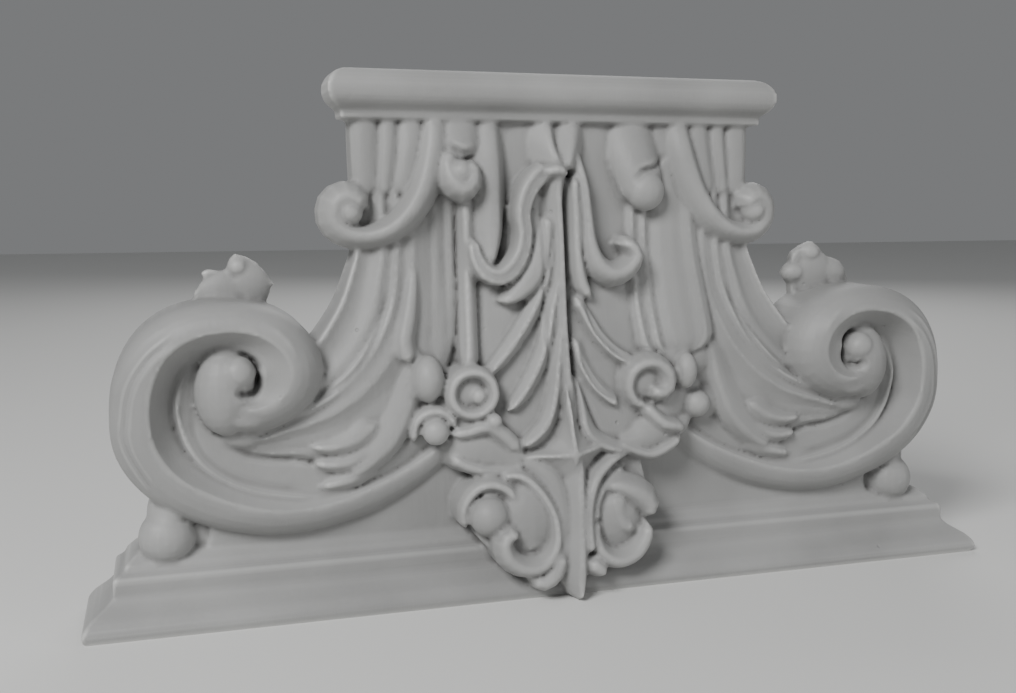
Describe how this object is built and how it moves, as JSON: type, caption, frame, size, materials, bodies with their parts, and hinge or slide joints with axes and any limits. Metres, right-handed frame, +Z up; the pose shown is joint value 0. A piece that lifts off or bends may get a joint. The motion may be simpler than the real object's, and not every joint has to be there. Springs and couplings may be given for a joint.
{
  "type": "pilaster capital",
  "caption": "Carved wooden pilaster capital, flat backed, with a leafed bell and corner scrolls over a wide moulded abacus and a half-round moulding across its neck.",
  "frame": {"origin": "middle of the flat underside of the abacus block, halfway between the flat back and the front of its foot moulding", "axes": "+Z up from the abacus to the half-round moulding, as the piece stands in the picture; +X along the width to the viewer's right; +Y towards the flat back, so the carved front faces -Y"},
  "size_m": [0.4, 0.0543, 0.219],
  "materials": {
    "carved_wood": "flat stone-grey paint over close-grained timber, edges a little softened"
  },
  "bodies": {
    "root": {"capital": "carved_wood"}
  },
  "joints": []
}
